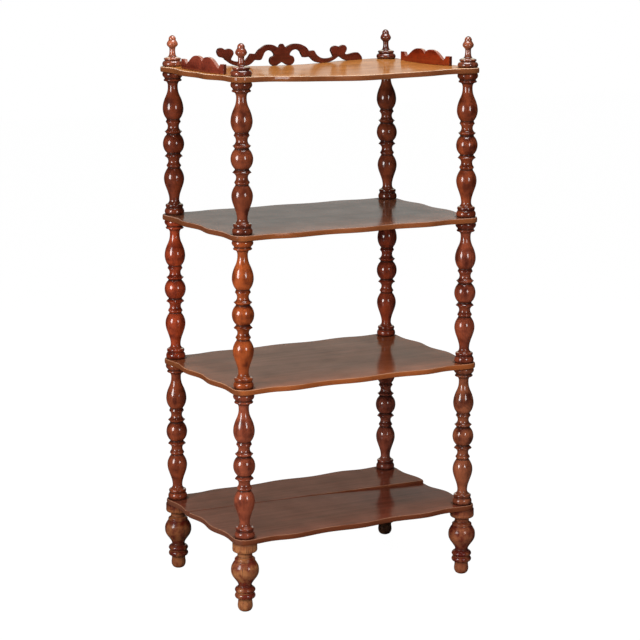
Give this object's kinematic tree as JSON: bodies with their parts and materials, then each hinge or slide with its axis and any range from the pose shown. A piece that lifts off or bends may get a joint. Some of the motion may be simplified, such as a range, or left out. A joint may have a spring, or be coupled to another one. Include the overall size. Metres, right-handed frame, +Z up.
{
  "type": "etagere",
  "caption": "Tall open whatnot with tiers of thin waved shelves on turned baluster posts, with finials, peg feet and low galleries on the top shelf.",
  "frame": {"origin": "on the floor, under the middle of the four legs, which is the middle of the bounding box's underside", "axes": "+X to the right seen from the front, the front faces -Y, +Z up"},
  "size_m": [0.6788, 0.4538, 1.35],
  "materials": {
    "post_wood": "french-polished mahogany, red-brown, glossy",
    "finial_wood": "french-polished mahogany, red-brown, glossy",
    "foot_wood": "french-polished mahogany, browner and worn at the pegs",
    "board_wood": "polished mahogany board, warm brown, satin to glossy",
    "gallery_wood": "polished mahogany, dark red",
    "dowel_wood": "bare pale hardwood, hidden in the joints"
  },
  "bodies": {
    "root": {"foot_front_left": "foot_wood", "foot_front_right": "foot_wood", "foot_back_left": "foot_wood", "foot_back_right": "foot_wood", "post_lower_front_left": "post_wood", "post_lower_front_right": "post_wood", "post_lower_back_left": "post_wood", "post_lower_back_right": "post_wood", "post_middle_front_left": "post_wood", "post_middle_front_right": "post_wood", "post_middle_back_left": "post_wood", "post_middle_back_right": "post_wood", "post_upper_front_left": "post_wood", "post_upper_front_right": "post_wood", "post_upper_back_left": "post_wood", "post_upper_back_right": "post_wood", "finial_front_left": "finial_wood", "finial_front_right": "finial_wood", "finial_back_left": "finial_wood", "finial_back_right": "finial_wood", "board_bottom_front": "board_wood", "board_bottom_back": "board_wood", "board_lower": "board_wood", "board_upper": "board_wood", "board_top": "board_wood", "gallery_back": "gallery_wood", "gallery_left": "gallery_wood", "gallery_right": "gallery_wood", "dowel_back_1": "dowel_wood", "dowel_back_2": "dowel_wood", "dowel_back_3": "dowel_wood", "dowel_back_4": "dowel_wood", "dowel_left_1": "dowel_wood", "dowel_left_2": "dowel_wood", "dowel_right_1": "dowel_wood", "dowel_right_2": "dowel_wood"}
  },
  "joints": []
}
